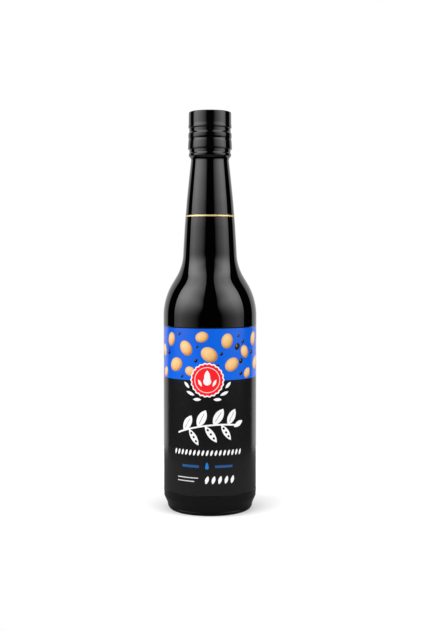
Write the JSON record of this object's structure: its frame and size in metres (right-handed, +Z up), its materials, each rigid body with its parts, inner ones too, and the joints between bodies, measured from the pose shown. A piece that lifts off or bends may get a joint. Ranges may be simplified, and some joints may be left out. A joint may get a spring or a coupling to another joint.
{
  "type": "soy sauce bottle",
  "caption": "Upright black glass sauce bottle, full and shut, with a round shoulder, long tapered neck, pouring collar and screw lid, wraparound label and gold neck line.",
  "frame": {"origin": "centre of the base, on the surface that the bottle stands on", "axes": "+Z up along the bottle's axis; -Y is the front of the label, turned 3.3 degrees towards -X; the label's overlap is at the back, near +Y"},
  "size_m": [0.071, 0.0711, 0.302],
  "materials": {
    "black_glass": "gloss",
    "label_film": "satin",
    "gold_foil": "polished",
    "black_closure": "gloss"
  },
  "bodies": {
    "root": {"bottle": "black_glass", "label": "label_film", "gold_line": "gold_foil", "collar": "black_closure", "lid": "black_closure"}
  },
  "joints": []
}
